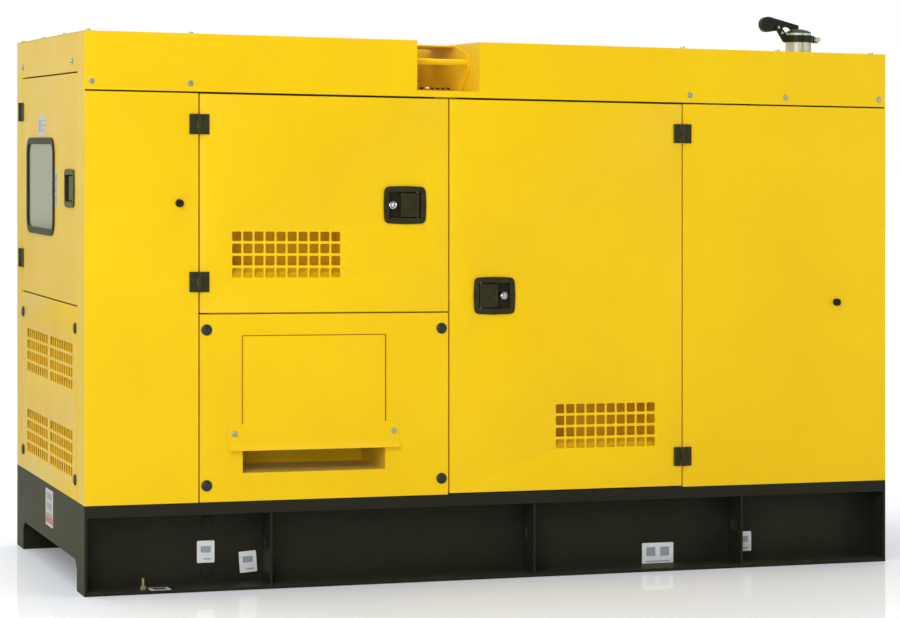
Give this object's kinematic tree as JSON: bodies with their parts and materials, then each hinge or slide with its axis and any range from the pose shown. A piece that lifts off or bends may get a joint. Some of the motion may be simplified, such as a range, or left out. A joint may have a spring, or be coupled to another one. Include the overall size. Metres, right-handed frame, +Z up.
{
  "type": "soundproofed diesel generator set on a skid base",
  "caption": "Skid-mounted diesel generator set in a sheet-steel sound canopy, with hinged doors, paddle latches, a control window, a cable outlet, a roof lifting point and an exhaust rain cap.",
  "frame": {"origin": "middle of the skid's underside, at floor level", "axes": "+X along the length from the control end to the radiator outlet end, +Y from the side with the cable outlet to the rear side, +Z up"},
  "size_m": [2.212, 0.9058, 1.477],
  "materials": {
    "canopy_paint": "textured powder coat, satin",
    "skid_paint": "charcoal enamel, semi-matt",
    "tank_paint": "charcoal enamel, semi-matt",
    "hinge_black": "black powder coat, fine texture",
    "latch_black": "moulded black, satin",
    "lock_chrome": "polished",
    "seal_rubber": "matt extruded rubber",
    "window_glass": "tinted, smooth",
    "earth_brass": "machined",
    "exhaust_steel": "brushed, slightly heat tinted",
    "exhaust_cast": "dull, rough",
    "clamp_black": "black paint, semi-gloss",
    "engine_paint": "grey enamel on castings",
    "alternator_paint": "dark grey enamel",
    "radiator_black": "black, finned",
    "fan_plastic": "moulded black",
    "cap_plastic": "moulded black",
    "cabinet_paint": "light grey powder coat",
    "stop_red": "moulded red",
    "battery_case": "moulded black"
  },
  "bodies": {
    "canopy_and_skid": {"alternator": "alternator_paint", "battery": "battery_case", "cable_cover": "canopy_paint", "control_panel": "cabinet_paint", "corner_panel_front_left": "canopy_paint", "corner_panel_front_right": "canopy_paint", "corner_panel_rear_left": "canopy_paint", "corner_panel_rear_right": "canopy_paint", "door_control_lower_hinge_fixed_leaf": "hinge_black", "door_control_upper_hinge_fixed_leaf": "hinge_black", "door_front_left_lower_hinge_fixed_leaf": "hinge_black", "door_front_left_upper_hinge_fixed_leaf": "hinge_black", "door_front_right_lower_hinge_fixed_leaf": "hinge_black", "door_front_right_upper_hinge_fixed_leaf": "hinge_black", "door_rear_lower_hinge_fixed_leaf": "hinge_black", "door_rear_upper_hinge_fixed_leaf": "hinge_black", "earth_terminal": "earth_brass", "end_top_panel": "canopy_paint", "end_vent_panel": "canopy_paint", "engine": "engine_paint", "exhaust_pipe": "exhaust_cast", "fuel_tank": "tank_paint", "lifting_frame": "canopy_paint", "muffler": "exhaust_steel", "outlet_end_panel": "canopy_paint", "radiator": "radiator_black", "rain_cap_collar": "clamp_black", "rear_side_panel": "canopy_paint", "roof_cover": "canopy_paint", "service_panel": "canopy_paint", "skid_frame": "skid_paint"},
    "front_left_door": {"door_front_left": "canopy_paint", "door_front_left_lower_hinge_door_leaf": "hinge_black", "door_front_left_upper_hinge_door_leaf": "hinge_black", "latch_housing_front_left": "latch_black"},
    "front_right_door": {"door_front_right": "canopy_paint", "door_front_right_lower_hinge_door_leaf": "hinge_black", "door_front_right_upper_hinge_door_leaf": "hinge_black", "latch_housing_front_right": "latch_black"},
    "rear_door": {"door_rear": "canopy_paint", "door_rear_lower_hinge_door_leaf": "hinge_black", "door_rear_upper_hinge_door_leaf": "hinge_black", "latch_housing_rear": "latch_black"},
    "control_door": {"door_control": "canopy_paint", "door_control_lower_hinge_door_leaf": "hinge_black", "door_control_upper_hinge_door_leaf": "hinge_black", "window_seal": "seal_rubber", "window_pane": "window_glass", "control_handle_housing": "latch_black"},
    "front_left_paddle": {"latch_paddle_front_left": "latch_black"},
    "front_right_paddle": {"latch_paddle_front_right": "latch_black"},
    "rear_paddle": {"latch_paddle_rear": "latch_black"},
    "control_lever": {"control_handle_lever": "latch_black"},
    "front_left_lock": {"lock_front_left": "lock_chrome"},
    "front_right_lock": {"lock_front_right": "lock_chrome"},
    "rear_lock": {"lock_rear": "lock_chrome"},
    "fan": {"cooling_fan": "fan_plastic"},
    "filler_cap": {"fuel_cap": "cap_plastic"},
    "rain_flap": {"rain_cap_flap": "clamp_black"},
    "stop_button": {"emergency_stop": "stop_red"}
  },
  "joints": [
    {"name": "front_left_door_hinge", "type": "hinge", "parent": "canopy_and_skid", "child": "front_left_door", "pos_m": [-0.814, -0.4455, 0.9573], "axis": [0, 0, -1], "range_deg": [0, 175]},
    {"name": "front_right_door_hinge", "type": "hinge", "parent": "canopy_and_skid", "child": "front_right_door", "pos_m": [0.494, -0.4455, 0.7252], "axis": [0, 0, 1], "range_deg": [0, 175]},
    {"name": "rear_door_hinge", "type": "hinge", "parent": "canopy_and_skid", "child": "rear_door", "pos_m": [0.494, 0.4455, 0.7252], "axis": [0, 0, -1], "range_deg": [0, 175]},
    {"name": "control_door_hinge", "type": "hinge", "parent": "canopy_and_skid", "child": "control_door", "pos_m": [-1.1055, 0.368, 0.9878], "axis": [0, 0, -1], "range_deg": [0, 170]},
    {"name": "front_left_paddle_pivot", "type": "hinge", "parent": "front_left_door", "child": "front_left_paddle", "pos_m": [-0.243, -0.436, 0.9565], "axis": [0, 0, 1], "range_deg": [0, 35]},
    {"name": "front_right_paddle_pivot", "type": "hinge", "parent": "front_right_door", "child": "front_right_paddle", "pos_m": [-0.0725, -0.436, 0.726], "axis": [0, 0, -1], "range_deg": [0, 35]},
    {"name": "rear_paddle_pivot", "type": "hinge", "parent": "rear_door", "child": "rear_paddle", "pos_m": [-0.0725, 0.436, 0.726], "axis": [0, 0, 1], "range_deg": [0, 35]},
    {"name": "control_lever_pivot", "type": "hinge", "parent": "control_door", "child": "control_lever", "pos_m": [-1.096, -0.306, 0.9885], "axis": [0, 0, 1], "range_deg": [0, 35]},
    {"name": "front_left_lock_turn", "type": "hinge", "parent": "front_left_door", "child": "front_left_lock", "pos_m": [-0.309, -0.44, 0.9565], "axis": [0, -1, 0], "range_deg": [0, 90]},
    {"name": "front_right_lock_turn", "type": "hinge", "parent": "front_right_door", "child": "front_right_lock", "pos_m": [-0.0065, -0.44, 0.726], "axis": [0, -1, 0], "range_deg": [0, 90]},
    {"name": "rear_lock_turn", "type": "hinge", "parent": "rear_door", "child": "rear_lock", "pos_m": [-0.0065, 0.44, 0.726], "axis": [0, 1, 0], "range_deg": [0, 90]},
    {"name": "filler_cap_turn", "type": "hinge", "parent": "canopy_and_skid", "child": "filler_cap", "pos_m": [0.03, -0.29, 0.3403], "axis": [0, 0, 1], "range_deg": [0, 90]},
    {"name": "rain_flap_pivot", "type": "hinge", "parent": "canopy_and_skid", "child": "rain_flap", "pos_m": [0.8637, -0.265, 1.448], "axis": [0, -1, 0], "range_deg": [0, 75]},
    {"name": "fan_spin", "type": "hinge", "parent": "canopy_and_skid", "child": "fan", "pos_m": [0.58, 0, 0.6], "axis": [1, 0, 0], "continuous": true},
    {"name": "stop_button_press", "type": "slide", "parent": "canopy_and_skid", "child": "stop_button", "axis": [1, 0, 0], "range_m": [0, 0.006]}
  ]
}
